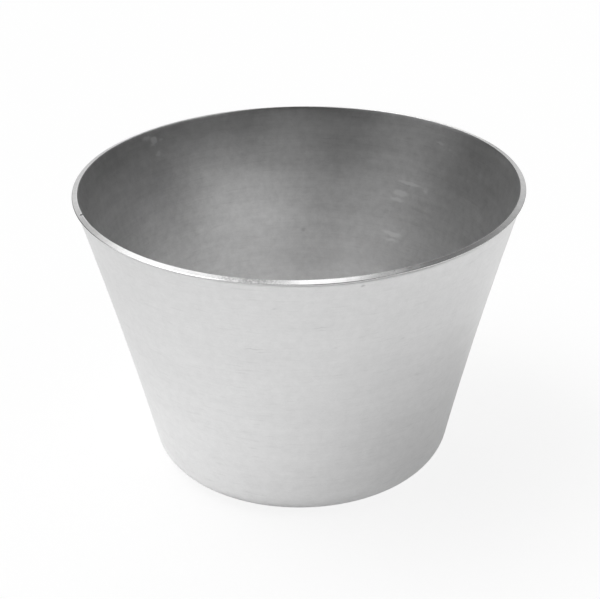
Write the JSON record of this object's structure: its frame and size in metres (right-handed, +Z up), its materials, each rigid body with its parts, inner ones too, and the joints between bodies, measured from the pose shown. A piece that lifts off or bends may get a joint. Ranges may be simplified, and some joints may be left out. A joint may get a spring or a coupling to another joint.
{
  "type": "candle mould",
  "caption": "Tapered round spun-metal candle mould, open at the top, with a rubber plug that closes the wick hole in its raised base panel.",
  "frame": {"origin": "on the mould's axis, in the plane that its foot stands on", "axes": "+Z up along the mould's axis, from the foot to the open rim; +X and +Y are alike on this round part"},
  "size_m": [0.08, 0.08, 0.0533],
  "materials": {
    "spun_aluminium": "satin, with fine spinning lines",
    "plug_rubber": "matt moulded rubber"
  },
  "bodies": {
    "mould": {"mould_cup": "spun_aluminium"},
    "plug": {"wick_plug": "plug_rubber"}
  },
  "joints": [
    {"name": "plug_pull", "type": "slide", "parent": "mould", "child": "plug", "axis": [0, 0, -1], "range_m": [0, 0.014]}
  ]
}
